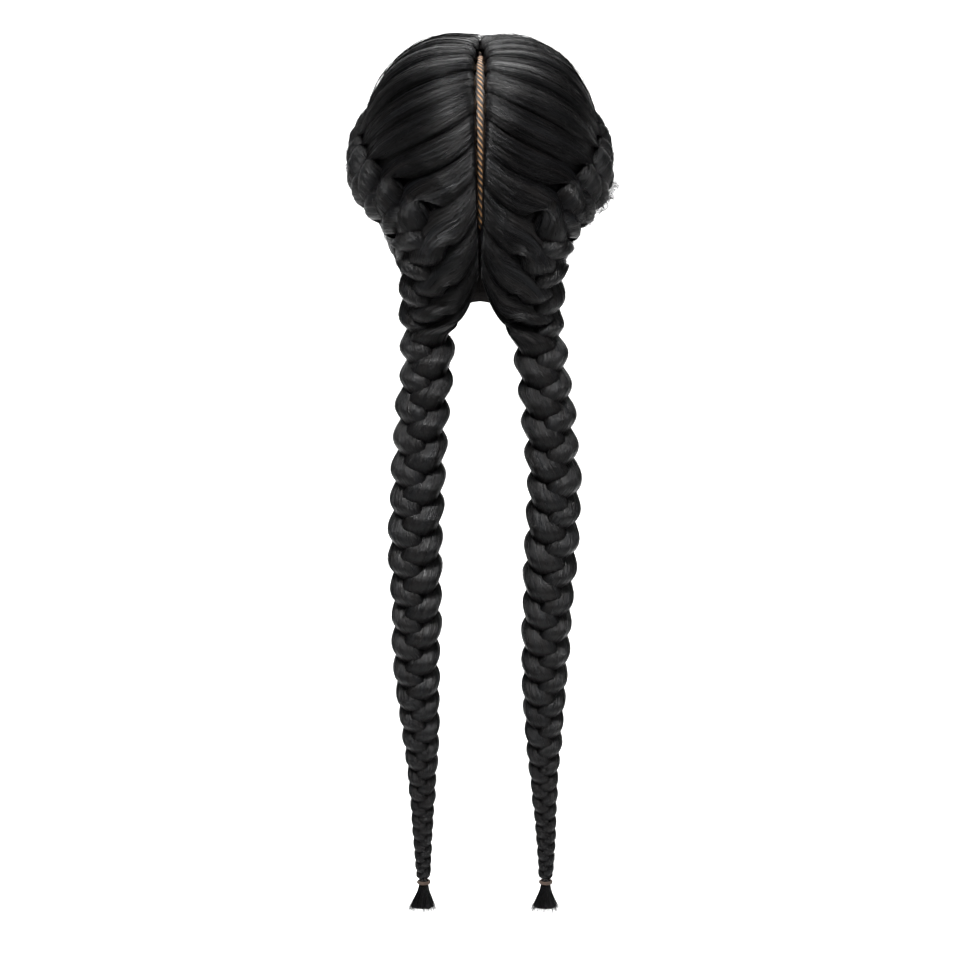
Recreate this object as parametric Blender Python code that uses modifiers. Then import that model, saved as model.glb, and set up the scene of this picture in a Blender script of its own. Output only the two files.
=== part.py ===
"""Braid wig: a lace cap with a centre parting, swept locks and two long three-strand braids.

Metres, +Z up. The face side is at -Y and the wearer's left is +X. The origin is the inner
crown of the cap, where the wearer's head bears.

Every curve on the head is drawn on a unit sphere, and skull() carries it to the head form, a
rounded box of two halves: the upper one is as high as the crown, the lower one reaches below
the nape. Angles are in degrees. A polar angle runs down from the crown, an azimuth round from
straight back, and a parting angle back from the crown, below 0 towards the forehead.
"""

import math

import bmesh
import bpy
from mathutils import Vector

COLLECTION = "Braid wig"

# Head form that the cap is made for. A fullness of 2 is an ellipsoid, and more is squarer.
HEAD_BREADTH = 0.158
HEAD_DEPTH = 0.196
CROWN_HEIGHT = 0.105
NAPE_HEIGHT = 0.135
HEAD_FULLNESS = 2.6

# Cap and parting
CAP_WALL = 0.0012
PART_WIDTH = 0.0085
PART_RISE = 0.0014
PART_TAPER = 0.6
TAPER_START = 50
LACE_END = 106

# Swept locks
LOCK_THICKNESS = 0.0205
LOCK_EDGE_SHARE = 0.62
SIDE_LOCK_THICKNESS = 0.011
SIDE_FLANK_SHARE = 0.52
SIDE_LOCK_EDGE = 0.35
HAIRLINE_MARGIN = 1.0
LOCK_GAP = 0.025

# Braids
BRAID_WIDTH = 0.0490
BRAID_DROP = 0.722
BRAID_SPACING = 0.060
BRAID_BACK = 0.100
STRAND_BREADTH_SHARE = 0.33
STRAND_RADIUS_SHARE = 0.245
STRAND_SWING_SHARE = 0.17
STRAND_DEPTH_SHARE = 0.115
FOOT_SHARE = 0.24
LOBE_PITCH_SHARE = 0.50
LOBE_PITCH_BASE = 0.0025

# Ties and tassels
NECK_RADIUS = 0.0048
TIE_WIRE = 0.0032
NECK_LENGTH = 0.0090
TASSEL_LENGTH = 0.030
TASSEL_WIDTH = 0.025
TASSEL_FLATNESS = 0.7
TASSEL_UNEVENNESS = 0.06

# Gap kept between pieces that rest on each other
CLEARANCE = 0.0005
LOCK_REST = 0.0010
SIDE_LOCK_REST = 0.00085
BRAID_REST = 0.0010
FACE_GAP = 0.0003

# Mesh fineness
ROUTE_STEPS = 30
STEPS_PER_TURN = 12
LEAST_STEP = 0.3
BRAID_SIDES = 12
SLIM_BRAID = 0.036
SWEPT_LOCK_STEPS = 8
SIDE_LOCK_STEPS = 5
CAP_SEGMENTS = (26, 6)
PARTING_STEPS = 24
TASSEL_LOCKS = 6

# Hairline: the cap's edge, from the nape round to the forehead, as sphere angles
HAIRLINE = [
    {"azimuth": 0, "polar": 133},
    {"azimuth": 28, "polar": 134},
    {"azimuth": 46, "polar": 127},
    {"azimuth": 62, "polar": 116},
    {"azimuth": 78, "polar": 106},
    {"azimuth": 93, "polar": 101},
    {"azimuth": 108, "polar": 99},
    {"azimuth": 121, "polar": 94},
    {"azimuth": 136, "polar": 80},
    {"azimuth": 156, "polar": 67},
    {"azimuth": 180, "polar": 62},
]

# Braid on the head, from the temple round to the nape; width is a share of BRAID_WIDTH
CROWN_ROUTE = [
    {"left": 150, "right": 150, "polar": 63, "width": 0.30},
    {"left": 137, "right": 137, "polar": 65, "width": 0.66},
    {"left": 119, "right": 119, "polar": 69, "width": 0.86},
    {"left": 99, "right": 99, "polar": 75, "width": 0.96},
    {"left": 80, "right": 80, "polar": 83, "width": 1.00},
    {"left": 56, "right": 60, "polar": 91, "width": 1.00},
    {"left": 33, "right": 37, "polar": 102, "width": 0.98},
    {"left": 28, "right": 31, "polar": 114, "width": 0.96},
    {"left": 32, "right": 34, "polar": 127, "width": 0.98},
]

# Hanging braid. drop is a share of BRAID_DROP, out_left and out_right of BRAID_SPACING,
# back of BRAID_BACK and width of BRAID_WIDTH; facing is the way its front looks, in degrees
# outward from straight back.
HANG_ROUTE = [
    {"drop": 0.315, "out_left": 0.75, "out_right": 0.81, "back": 0.83, "facing": 30, "width": 0.97},
    {"drop": 0.365, "out_left": 0.76, "out_right": 0.90, "back": 0.88, "facing": 26, "width": 0.98},
    {"drop": 0.430, "out_left": 0.84, "out_right": 0.99, "back": 0.94, "facing": 24, "width": 0.99},
    {"drop": 0.500, "out_left": 0.89, "out_right": 1.06, "back": 0.98, "facing": 22, "width": 1.00},
    {"drop": 0.570, "out_left": 0.93, "out_right": 1.03, "back": 1.00, "facing": 18, "width": 0.98},
    {"drop": 0.650, "out_left": 0.92, "out_right": 0.98, "back": 1.00, "facing": 13, "width": 0.93},
    {"drop": 0.730, "out_left": 0.93, "out_right": 0.95, "back": 1.00, "facing": 8, "width": 0.85},
    {"drop": 0.810, "out_left": 0.87, "out_right": 0.94, "back": 1.00, "facing": 5, "width": 0.68},
    {"drop": 0.880, "out_left": 0.85, "out_right": 0.95, "back": 1.00, "facing": 3, "width": 0.50},
    {"drop": 0.950, "out_left": 0.85, "out_right": 0.98, "back": 1.00, "facing": 2, "width": 0.35},
    {"drop": 1.000, "out_left": 0.84, "out_right": 0.98, "back": 1.00, "facing": 0, "width": 0.27},
]

# Edges between neighbouring swept locks: where each leaves the parting, as an angle back
# from the crown; where it meets the braid, as a share of the way along the crown route; how
# far from the braid's centre, as a share of its width; and its bow towards the nape, as a
# share of its length
LOCK_EDGES = [
    {"part": -62, "braid": 0.05, "flank": 0.54, "bow": 0.00},
    {"part": -40, "braid": 0.09, "flank": 0.54, "bow": 0.00},
    {"part": -20, "braid": 0.13, "flank": 0.54, "bow": 0.00},
    {"part": 0, "braid": 0.175, "flank": 0.54, "bow": 0.00},
    {"part": 17, "braid": 0.235, "flank": 0.55, "bow": 0.02},
    {"part": 29, "braid": 0.32, "flank": 0.56, "bow": 0.04},
    {"part": 39, "braid": 0.43, "flank": 0.56, "bow": 0.06},
    {"part": 49, "braid": 0.53, "flank": 0.55, "bow": 0.07},
    {"part": 60, "braid": 0.62, "flank": 0.55, "bow": 0.07},
    {"part": 71, "braid": 0.7, "flank": 0.54, "bow": 0.08},
    {"part": 82, "braid": 0.765, "flank": 0.53, "bow": 0.06},
    {"part": 94, "braid": 0.83, "flank": 0.51, "bow": 0.05},
    {"part": 106, "braid": 0.9, "flank": 0.50, "bow": 0.06},
    {"part": 119, "braid": 1.05, "flank": 0.48, "bow": 0.16},
]

# Edges between neighbouring side locks: the azimuth where each leaves the hairline, and where
# it meets the braid, as a share of the way along the crown route
SIDE_LOCK_EDGES = [
    {"hairline": 152, "braid": 0.06},
    {"hairline": 130, "braid": 0.20},
    {"hairline": 108, "braid": 0.35},
    {"hairline": 88, "braid": 0.50},
    {"hairline": 70, "braid": 0.64},
    {"hairline": 57, "braid": 0.78},
    {"hairline": 48, "braid": 0.91},
]

# Height of a swept lock's crest along its length, as a share of LOCK_THICKNESS
LOCK_PROFILE = [
    {"along": 0.00, "height": 0.42},
    {"along": 0.10, "height": 0.63},
    {"along": 0.30, "height": 0.90},
    {"along": 0.65, "height": 1.00},
    {"along": 1.00, "height": 0.80},
]

# Points across a lock's section: share of the way across, and how far up the crest
LOCK_SECTION = [
    {"across": 0.0, "crest": 0.0},
    {"across": 0.27, "crest": 0.85},
    {"across": 0.73, "crest": 0.85},
    {"across": 1.0, "crest": 0.0},
]

# A tassel's loose locks: how far down and out each point is, and its share of NECK_RADIUS
TASSEL_PROFILE = [
    {"along": 0.0, "out": 0.0, "thick": 0.50},
    {"along": 0.3, "out": 0.45, "thick": 0.85},
    {"along": 0.7, "out": 0.85, "thick": 0.80},
    {"along": 1.0, "out": 1.0, "thick": 0.35},
]

# Finishes: name, colour and roughness
HAIR = ("hair", (0.012, 0.012, 0.013), 0.42)
LACE = ("parting lace", (0.52, 0.36, 0.22), 0.75)
NET = ("cap net", (0.03, 0.026, 0.024), 0.8)
ELASTIC = ("elastic", (0.03, 0.022, 0.018), 0.6)

SKULL_CENTRE = Vector((0.0, 0.0, -CROWN_HEIGHT))
SIDES = {"left": 1, "right": -1}


def skull_axes(height):
    """Half axes of the head form, for a point above or below its widest level."""
    rise = CROWN_HEIGHT if height >= 0 else NAPE_HEIGHT
    return Vector((HEAD_BREADTH / 2, HEAD_DEPTH / 2, rise))


def skull(ray, lift=0.0):
    """The point this far outside the head form along a ray, and the form's normal there."""
    axes = skull_axes(ray.z)
    reach = sum(abs(r) ** HEAD_FULLNESS for r in ray) ** (-1 / HEAD_FULLNESS)
    slopes = [math.copysign(abs(r) ** (HEAD_FULLNESS - 1), r) for r in ray]
    normal = Vector([s / a for s, a in zip(slopes, axes)]).normalized()
    point = SKULL_CENTRE + Vector([r * reach * a for r, a in zip(ray, axes)])
    return point + normal * lift, normal


def ray_to(point):
    """The unit sphere's ray whose skull point lies under a point in space."""
    offset = point - SKULL_CENTRE
    axes = skull_axes(offset.z)
    return Vector([o / a for o, a in zip(offset, axes)]).normalized()


def ray_at(azimuth, polar, side=1):
    """The ray this many degrees round from straight back and down from the crown."""
    around, down = math.radians(azimuth), math.radians(polar)
    flat = math.sin(down)
    return Vector((side * flat * math.sin(around), flat * math.cos(around), math.cos(down)))


def row_at(rows, key, value):
    """The row of a table read at a value of one column, with a smooth curve through the rows."""
    keys = [row[key] for row in rows]
    value = min(max(value, keys[0]), keys[-1])
    i = max(k for k in range(len(keys) - 1) if keys[k] <= value or k == 0)
    before, this = rows[max(i - 1, 0)], rows[i]
    after, last = rows[i + 1], rows[min(i + 2, len(rows) - 1)]
    share = (value - this[key]) / (after[key] - this[key])
    found = {}
    for name in this:
        slope_in = (after[name] - before[name]) / max(after[key] - before[key], 1e-9)
        slope_out = (last[name] - this[name]) / max(last[key] - this[key], 1e-9)
        found[name] = hermite(
            this[name], after[name], slope_in, slope_out, after[key] - this[key], share
        )
    return found


def hermite(start, end, slope_in, slope_out, span, share):
    """A cubic from start to end with these slopes."""
    s2, s3 = share**2, share**3
    bend_in = (s3 - 2 * s2 + share) * span * slope_in
    bend_out = (s3 - s2) * span * slope_out
    return start * (2 * s3 - 3 * s2 + 1) + end * (3 * s2 - 2 * s3) + bend_in + bend_out


def through(points, at):
    """A smooth curve through points, numbers or vectors, read at a position counted in points."""
    i = min(max(int(at), 0), len(points) - 2)
    before, last = points[max(i - 1, 0)], points[min(i + 2, len(points) - 1)]
    this, after = points[i], points[i + 1]
    return hermite(this, after, (after - before) / 2, (last - this) / 2, 1.0, at - i)


class Braid:
    """One side's braid: its centreline, the way it faces, its width and its turns."""

    def __init__(self, side):
        sign = SIDES[side]
        self.sign = sign
        places, facings, widths = [], [], []
        for row in CROWN_ROUTE:
            width = BRAID_WIDTH * row["width"]
            lift = CAP_WALL + BRAID_REST + braid_half_depth(width)
            place, normal = skull(ray_at(row[side], row["polar"], sign), lift)
            places.append(place)
            facings.append(normal)
            widths.append(width)
        for row in HANG_ROUTE:
            out = BRAID_SPACING * row["out_" + side]
            places.append(Vector((sign * out, BRAID_BACK * row["back"], -BRAID_DROP * row["drop"])))
            facings.append(ray_at(row["facing"], 90, sign))
            widths.append(BRAID_WIDTH * row["width"])
        steps = [i / ROUTE_STEPS for i in range((len(places) - 1) * ROUTE_STEPS + 1)]
        self.places = [through(places, at) for at in steps]
        self.facings = [through(facings, at) for at in steps]
        self.widths = [through(widths, at) for at in steps]
        ends = [self.places[0]] + self.places + [self.places[-1]]
        self.runs = [(after - before).normalized() for before, after in zip(ends, ends[2:])]
        self.lengths = [0.0]
        self.turns = [0.0]
        for i in range(1, len(steps)):
            run = (self.places[i] - self.places[i - 1]).length
            pitch = LOBE_PITCH_SHARE * (self.widths[i] + self.widths[i - 1]) / 2 + LOBE_PITCH_BASE
            self.lengths.append(self.lengths[-1] + run)
            self.turns.append(self.turns[-1] + run / (3 * pitch))
        self.crown_length = self.lengths[(len(CROWN_ROUTE) - 1) * ROUTE_STEPS]

    def at(self, table, value):
        """Centre, run direction, outward normal, crosswise direction and width where a table of
        this braid reaches a value."""
        i = next((k for k in range(1, len(table)) if table[k] >= value), len(table) - 1)
        share = (value - table[i - 1]) / (table[i] - table[i - 1])
        place = self.places[i - 1].lerp(self.places[i], share)
        width = self.widths[i - 1] + (self.widths[i] - self.widths[i - 1]) * share
        run = self.runs[i - 1].lerp(self.runs[i], share).normalized()
        facing = self.facings[i - 1].lerp(self.facings[i], share)
        normal = (facing - run * facing.dot(run)).normalized()
        return place, run, normal, run.cross(normal) * self.sign, width

    def section(self, turn):
        """A ring round the three strands where they have made this many turns. Each strand
        swings from edge to edge, over the others on its way in and under them on its way out."""
        place, _, normal, cross, width = self.at(self.turns, turn)
        centres = []
        for number in range(3):
            angle = 2 * math.pi * (turn + number / 3)
            swing = STRAND_SWING_SHARE * math.sin(angle)
            depth = -STRAND_DEPTH_SHARE * math.sin(2 * angle)
            centres.append((swing * width, depth * width))
        ring = []
        for i in range(BRAID_SIDES):
            angle = 2 * math.pi * i / BRAID_SIDES
            way = (math.cos(angle), math.sin(angle))
            reach = max(far_side(way, centre, width) for centre in centres)
            ring.append(place + (cross * way[0] + normal * way[1]) * reach)
        return ring

    def stretch(self, first, last):
        """Rings along the braid between two of its lengths. Where it is slim, only the rings
        through its lobes are kept, which are the odd ones."""
        start = self.turn_at(first) * STEPS_PER_TURN
        end = self.turn_at(last) * STEPS_PER_TURN
        steps = [start]
        for step in range(math.ceil(start + LEAST_STEP), math.floor(end - LEAST_STEP) + 1):
            slim = self.at(self.turns, step / STEPS_PER_TURN)[4] < SLIM_BRAID
            if step % 2 or not slim:
                steps.append(step)
        return [self.section(step / STEPS_PER_TURN) for step in [*steps, end]]

    def turn_at(self, length):
        """How many turns the strands have made at a length of the braid."""
        i = next((k for k in range(1, len(self.lengths)) if self.lengths[k] >= length), -1)
        span = self.lengths[i] - self.lengths[i - 1]
        share = (length - self.lengths[i - 1]) / span
        return self.turns[i - 1] + (self.turns[i] - self.turns[i - 1]) * share


def far_side(way, centre, width):
    """How far a ray from the braid's centre runs before it leaves a strand's section, an
    ellipse, for good; 0 if it misses."""
    halves = (STRAND_BREADTH_SHARE * width, STRAND_RADIUS_SHARE * width)
    way = Vector([w / half for w, half in zip(way, halves)])
    centre = Vector([c / half for c, half in zip(centre, halves)])
    along = way.dot(centre)
    room = along**2 - way.dot(way) * (centre.dot(centre) - 1)
    return (along + math.sqrt(room)) / way.dot(way) if room > 0 else 0.0


def braid_half_depth(width):
    return (STRAND_RADIUS_SHARE + STRAND_DEPTH_SHARE) * width


def clear_scene():
    for obj in list(bpy.data.objects):
        bpy.data.objects.remove(obj)
    for old in list(bpy.data.collections):
        bpy.data.collections.remove(old)


def material(finish):
    name, colour, roughness = finish
    made = bpy.data.materials.get(name) or bpy.data.materials.new(name)
    made.use_nodes = True
    shader = made.node_tree.nodes["Principled BSDF"]
    shader.inputs["Base Color"].default_value = (*colour, 1.0)
    shader.inputs["Roughness"].default_value = roughness
    shader.inputs["Metallic"].default_value = 0.0
    made.diffuse_color = (*colour, 1.0)
    return made


def add_mesh(name, mesh_bm, finish, smooth_deg=40):
    """A mesh object of its own, from a bmesh whose faces are turned outwards."""
    bmesh.ops.recalc_face_normals(mesh_bm, faces=mesh_bm.faces)
    mesh = bpy.data.meshes.new(name)
    mesh_bm.to_mesh(mesh)
    mesh_bm.free()
    mesh.shade_smooth()
    mesh.set_sharp_from_angle(angle=math.radians(smooth_deg))
    mesh.materials.append(material(finish))
    obj = bpy.data.objects.new(name, mesh)
    bpy.data.collections[COLLECTION].objects.link(obj)
    return obj


def loft(rings):
    """A closed bmesh through rings of points, with an end face on the first and the last."""
    made = bmesh.new()
    loops = [[made.verts.new(point) for point in ring] for ring in rings]
    for low, high in zip(loops, loops[1:]):
        for i in range(len(low)):
            j = (i + 1) % len(low)
            made.faces.new((low[i], low[j], high[j], high[i]))
    made.faces.new(list(reversed(loops[0])))
    made.faces.new(loops[-1])
    return made


def tube(name, points, radius):
    """A mesh object round a polyline of (point, share of radius), from a bevelled curve."""
    curve = bpy.data.curves.new(name, "CURVE")
    curve.dimensions = "3D"
    curve.bevel_depth = radius
    curve.bevel_resolution = 2
    curve.use_fill_caps = True
    spline = curve.splines.new("POLY")
    spline.points.add(len(points) - 1)
    for knot, (point, share) in zip(spline.points, points):
        knot.co = (*point, 1.0)
        knot.radius = share
    guide = bpy.data.objects.new(name + "_guide", curve)
    bpy.data.collections[COLLECTION].objects.link(guide)
    bpy.context.view_layer.update()
    shaped = guide.evaluated_get(bpy.context.evaluated_depsgraph_get())
    made = bmesh.new()
    mesh = bpy.data.meshes.new_from_object(shaped)
    made.from_mesh(mesh)
    bmesh.ops.remove_doubles(made, verts=made.verts, dist=1e-5)
    bpy.data.objects.remove(guide)
    bpy.data.curves.remove(curve)
    bpy.data.meshes.remove(mesh)
    return made


def fused(name, solids, finish):
    """One object from overlapping bmeshes, by Boolean unions."""
    whole = add_mesh(name, solids[0], finish)
    for solid in solids[1:]:
        other = add_mesh(name + "_joined", solid, finish)
        union = whole.modifiers.new("union", "BOOLEAN")
        union.operation = "UNION"
        union.solver = "EXACT"
        union.object = other
        bpy.context.view_layer.update()
        shaped = whole.evaluated_get(bpy.context.evaluated_depsgraph_get())
        mesh = bpy.data.meshes.new_from_object(shaped)
        whole.modifiers.clear()
        whole.data = mesh
        bpy.data.objects.remove(other)
    return whole


def build_cap():
    """The cap: a thin wall on the head form, open at the face and the neck."""
    made = bmesh.new()
    columns, rows = CAP_SEGMENTS
    bmesh.ops.create_grid(made, x_segments=columns, y_segments=rows, size=0.5)
    for vert in made.verts:
        azimuth = 360 * vert.co.x
        down = vert.co.y + 0.5
        edge = row_at(HAIRLINE, "azimuth", abs(azimuth))["polar"]
        vert.co = skull(ray_at(azimuth, edge * down))[0]
    bmesh.ops.remove_doubles(made, verts=made.verts, dist=1e-5)
    bmesh.ops.dissolve_degenerate(made, edges=made.edges, dist=1e-6)
    cap = add_mesh("cap", made, NET)
    wall = cap.modifiers.new("wall", "SOLIDIFY")
    wall.thickness = CAP_WALL
    wall.offset = 1.0
    return cap


def part_half_width(angle):
    """Half the parting's width: full over the crown, narrower down the back, closed at last."""
    if angle > LACE_END:
        return 0.0
    along = max(0.0, (angle - TAPER_START) / (LACE_END - TAPER_START))
    return PART_WIDTH / 2 * (1 - PART_TAPER * along)


def build_parting():
    """The lace strip that shows along the parting, from the forehead to above the nape."""
    low = LOCK_EDGES[0]["part"]
    rings = []
    for k in range(PARTING_STEPS + 1):
        angle = low + (LACE_END - low) * k / PARTING_STEPS
        floor, normal = skull(ray_at(0, angle), CAP_WALL + CLEARANCE)
        out = Vector((part_half_width(angle), 0.0, 0.0))
        top = floor + normal * PART_RISE
        rings.append([floor - out, floor + out, top + out * 0.8, top - out * 0.8])
    return add_mesh("parting_lace", loft(rings), LACE)


def between(rows, place):
    """The row of a table at a place counted in rows, which may fall between two."""
    return {name: through([row[name] for row in rows], place) for name in rows[0]}


def braid_flank(braid, share, flank):
    """A place at the foot of the braid's flank, at a share of its crown length. flank is a
    share of its width: above 0 on the parting's side and below 0 on the hairline's."""
    place, _, normal, cross, width = braid.at(braid.lengths, braid.crown_length * share)
    inward = cross if cross.x * braid.sign < 0 else -cross
    return place + (inward * flank - normal * FOOT_SHARE) * width


def sweep(start, bend, end, share):
    """A point of the arc that a lock's hair follows: a ray, and its lift off the head form."""
    rest = 1 - share
    ray = start * rest**2 + bend * (2 * share * rest) + ray_to(end) * share**2
    over = (end - skull(ray_to(end))[0]).dot(skull(ray_to(end))[1])
    return ray.normalized(), max(over - CAP_WALL - LOCK_REST, 0.0) * share**2


def lock_solid(way_of, height_of, number, steps, rest):
    """A bmesh of one lock, resting this far above the cap. way_of(place, share) gives the ray
    and the lift across and along it, and height_of(share) its crest's height."""
    rings = []
    bottom = CAP_WALL + rest
    first, last = number + LOCK_GAP, number + 1 - LOCK_GAP
    for k in range(steps + 1):
        share = k / steps
        crest = height_of(share)
        low = crest * LOCK_EDGE_SHARE
        under = [(1, 0.0), (0.5, 0.0), (0, 0.0)]
        over = [(row["across"], low + (crest - low) * row["crest"]) for row in LOCK_SECTION]
        ring = []
        for across, height in under + over:
            ray, lift = way_of(first + (last - first) * across, share)
            ring.append(skull(ray, bottom + lift + height)[0])
        rings.append(ring)
    return loft(rings)


def build_swept_locks(side, braid):
    """The locks that sweep from the parting down into the crown braid."""
    def way_of(place, share):
        edge = between(LOCK_EDGES, place)
        floor, _ = skull(ray_at(0, edge["part"]))
        out = Vector((braid.sign * (part_half_width(edge["part"]) + CLEARANCE), 0.0, 0.0))
        end = braid_flank(braid, edge["braid"], edge["flank"])
        along_part = (skull(ray_at(0, edge["part"] + 1))[0] - floor).normalized()
        bend = (floor + end) / 2 + along_part * (2 * edge["bow"] * (end - floor).length)
        return sweep(ray_to(floor + out), ray_to(bend), end, share)

    def height_of(share):
        return LOCK_THICKNESS * row_at(LOCK_PROFILE, "along", share)["height"]

    for k in range(len(LOCK_EDGES) - 1):
        solid = lock_solid(way_of, height_of, k, SWEPT_LOCK_STEPS, LOCK_REST)
        add_mesh(f"swept_lock_{side}_{k + 1}", solid, HAIR)


def build_side_locks(side, braid):
    """The short locks from the hairline over the ear up into the crown braid."""
    def way_of(place, share):
        edge = between(SIDE_LOCK_EDGES, place)
        end = braid_flank(braid, edge["braid"], -SIDE_FLANK_SHARE)
        hairline = row_at(HAIRLINE, "azimuth", edge["hairline"])["polar"]
        start = ray_at(edge["hairline"], hairline - HAIRLINE_MARGIN, braid.sign)
        return sweep(start, (start + ray_to(end)) / 2, end, share)

    def height_of(share):
        swell = math.sin(math.pi / 2 * share)
        return SIDE_LOCK_THICKNESS * (SIDE_LOCK_EDGE + (1 - SIDE_LOCK_EDGE) * swell)

    for k in range(len(SIDE_LOCK_EDGES) - 1):
        solid = lock_solid(way_of, height_of, k, SIDE_LOCK_STEPS, SIDE_LOCK_REST)
        add_mesh(f"side_lock_{side}_{k + 1}", solid, HAIR)


def build_braid(side, braid):
    """The three strands as one form, in two stretches that meet where it leaves the head."""
    leaves = braid.crown_length
    crown = loft(braid.stretch(0.0, leaves - FACE_GAP / 2))
    add_mesh("crown_braid_" + side, crown, HAIR)
    hanging = loft(braid.stretch(leaves + FACE_GAP / 2, braid.lengths[-1]))
    add_mesh("hanging_braid_" + side, hanging, HAIR)


def build_tie(side, top):
    """The elastic wound round the braid's neck."""
    bpy.ops.mesh.primitive_torus_add(
        location=top - Vector((0, 0, TIE_WIRE / 2 + CLEARANCE)),
        major_radius=NECK_RADIUS + TIE_WIRE / 2 + CLEARANCE,
        minor_radius=TIE_WIRE / 2,
        major_segments=14,
        minor_segments=6,
    )
    tie = bpy.context.object
    tie.name = "elastic_tie_" + side
    tie.data.materials.append(material(ELASTIC))
    for home in list(tie.users_collection):
        home.objects.unlink(tie)
    bpy.data.collections[COLLECTION].objects.link(tie)


def build_tassel(side, top):
    """The neck that the elastic grips, and the loose locks that spread below it."""
    knot = TIE_WIRE + 2 * CLEARANCE
    waist = top - Vector((0, 0, knot))
    neck = [(top, 1.0), (waist, 1.0), (top - Vector((0, 0, NECK_LENGTH)), 0.8)]
    solids = [tube(f"{side}_neck", neck, NECK_RADIUS)]
    spread = TASSEL_WIDTH / 2 - NECK_RADIUS * TASSEL_PROFILE[-2]["thick"]
    for k in range(TASSEL_LOCKS):
        around = 2 * math.pi * k / (TASSEL_LOCKS - 1)
        way = Vector((math.cos(around), math.sin(around) * TASSEL_FLATNESS, 0))
        reach = spread if k > 0 else 0.0
        fall = (TASSEL_LENGTH - knot) * (1 - TASSEL_UNEVENNESS * (k % 3))
        lock = []
        for row in TASSEL_PROFILE:
            point = waist + way * (reach * row["out"])
            point.z -= fall * row["along"] + FACE_GAP
            lock.append((point, row["thick"]))
        solids.append(tube(f"{side}_tassel_{k}", lock, NECK_RADIUS))
    fused("tassel_" + side, solids, HAIR)


def main():
    clear_scene()
    bpy.context.scene.collection.children.link(bpy.data.collections.new(COLLECTION))
    build_cap()
    build_parting()
    for side in SIDES:
        braid = Braid(side)
        build_swept_locks(side, braid)
        build_side_locks(side, braid)
        build_braid(side, braid)
        top = braid.places[-1] - Vector((0, 0, FACE_GAP))
        build_tie(side, top)
        build_tassel(side, top)


main()
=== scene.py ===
"""Looks of the braid wig: locks, strands, single hairs, lace parting, ties and stage.

Metres, +Z up. The face side is at -Y and the wearer's left is +X. The head form, the routes
of the braids and the edges of the locks are the CAD part's own values, repeated here.
"""

import math

import bmesh
import bpy
import numpy as np
from bpy.props import FloatProperty, FloatVectorProperty, IntProperty, PointerProperty
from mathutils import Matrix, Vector


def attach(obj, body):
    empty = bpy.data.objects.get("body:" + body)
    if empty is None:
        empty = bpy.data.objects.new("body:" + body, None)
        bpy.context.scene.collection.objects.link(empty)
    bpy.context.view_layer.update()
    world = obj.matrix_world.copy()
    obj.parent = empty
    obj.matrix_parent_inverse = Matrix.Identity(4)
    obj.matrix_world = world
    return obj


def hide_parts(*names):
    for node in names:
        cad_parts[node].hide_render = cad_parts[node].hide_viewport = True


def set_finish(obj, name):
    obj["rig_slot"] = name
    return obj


bl_info = {
    "name": "Braid wig",
    "version": (1, 0, 0),
    "blender": (4, 5, 0),
    "location": "3D View > Sidebar > Braid wig",
    "description": "Dresses the braid wig's frame with hair, lace, elastic and a plain stage",
    "category": "Add Mesh",
}

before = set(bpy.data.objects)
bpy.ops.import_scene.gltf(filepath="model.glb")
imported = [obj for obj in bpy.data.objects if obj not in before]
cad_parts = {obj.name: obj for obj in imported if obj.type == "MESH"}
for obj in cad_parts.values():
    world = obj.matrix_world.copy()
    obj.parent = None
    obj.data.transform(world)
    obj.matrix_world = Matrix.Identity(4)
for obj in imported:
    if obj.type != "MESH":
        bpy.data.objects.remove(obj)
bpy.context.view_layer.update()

# Head form
HEAD_FULLNESS = 2.6
UPPER_AXES = np.array([0.079, 0.098, 0.105])
LOWER_AXES = np.array([0.079, 0.098, 0.135])
SKULL_CENTRE = np.array([0.0, 0.0, -0.105])
CAP_WALL = 0.0012

# Parting
PART_WIDTH = 0.0085
PART_RISE = 0.0014
PART_TAPER = 0.6
TAPER_START = 50
LACE_END = 106
CLEARANCE = 0.0005

# Locks
LOCK_THICKNESS = 0.0205
LOCK_REST = 0.0010
SIDE_LOCK_THICKNESS = 0.011
SIDE_LOCK_REST = 0.00085
SIDE_LOCK_EDGE = 0.35
SIDE_FLANK_SHARE = 0.52
HAIRLINE_MARGIN = 1.0

# Braids
BRAID_WIDTH = 0.049
BRAID_DROP = 0.722
BRAID_SPACING = 0.060
BRAID_BACK = 0.100
BRAID_REST = 0.0010
STRAND_BREADTH_SHARE = 0.33
STRAND_RADIUS_SHARE = 0.245
STRAND_SWING_SHARE = 0.17
STRAND_DEPTH_SHARE = 0.115
FOOT_SHARE = 0.24
LOBE_PITCH_SHARE = 0.50
LOBE_PITCH_BASE = 0.0025
ROUTE_STEPS = 30

# Ties and tassels
NECK_RADIUS = 0.0048
TIE_WIRE = 0.0032
TASSEL_LENGTH = 0.030
TASSEL_WIDTH = 0.025
TASSEL_FLATNESS = 0.7
FACE_GAP = 0.0003
ELASTIC_RADIUS = 0.00085
ELASTIC_WRAPS = 4
TASSEL_HAIRS = 520

# Hairline: azimuth from straight back, and polar angle down from the crown
HAIRLINE = np.array([
    (0, 133), (28, 134), (46, 127), (62, 116), (78, 106), (93, 101),
    (108, 99), (121, 94), (136, 80), (156, 67), (180, 62),
], float)

# Braid on the head: azimuth on the left and on the right, polar angle, share of the width
CROWN_ROUTE = np.array([
    (150, 150, 63, 0.30), (137, 137, 65, 0.66), (119, 119, 69, 0.86),
    (99, 99, 75, 0.96), (80, 80, 83, 1.00), (56, 60, 91, 1.00),
    (33, 37, 102, 0.98), (28, 31, 114, 0.96), (32, 34, 127, 0.98),
])

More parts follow.
